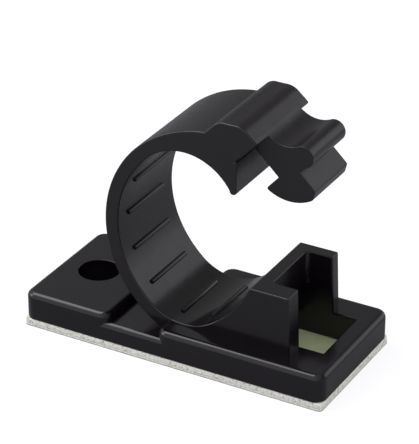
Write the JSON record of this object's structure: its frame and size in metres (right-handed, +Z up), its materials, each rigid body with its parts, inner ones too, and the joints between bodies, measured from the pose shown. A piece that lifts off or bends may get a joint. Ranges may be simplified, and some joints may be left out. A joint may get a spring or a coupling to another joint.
{
  "type": "adhesive cable clamp",
  "caption": "Moulded plastic cable clamp, shown open: sprung strap with a latch hook, ribbed seat and catch receiver on a flat base with a screw hole and foam tape.",
  "frame": {"origin": "middle of the underside, where the liner lies on its support", "axes": "+X from the screw hole to the latch receiver along the base, +Y across the base along the cable, +Z up from the mounting surface"},
  "size_m": [0.036, 0.016, 0.0288],
  "materials": {
    "black_plastic": "satin black moulded nylon",
    "foam": "closed-cell white foam with adhesive on both faces",
    "liner": "smooth white release paper"
  },
  "bodies": {
    "root": {"clamp_body": "black_plastic", "foam_tape": "foam", "release_liner": "liner"}
  },
  "joints": []
}
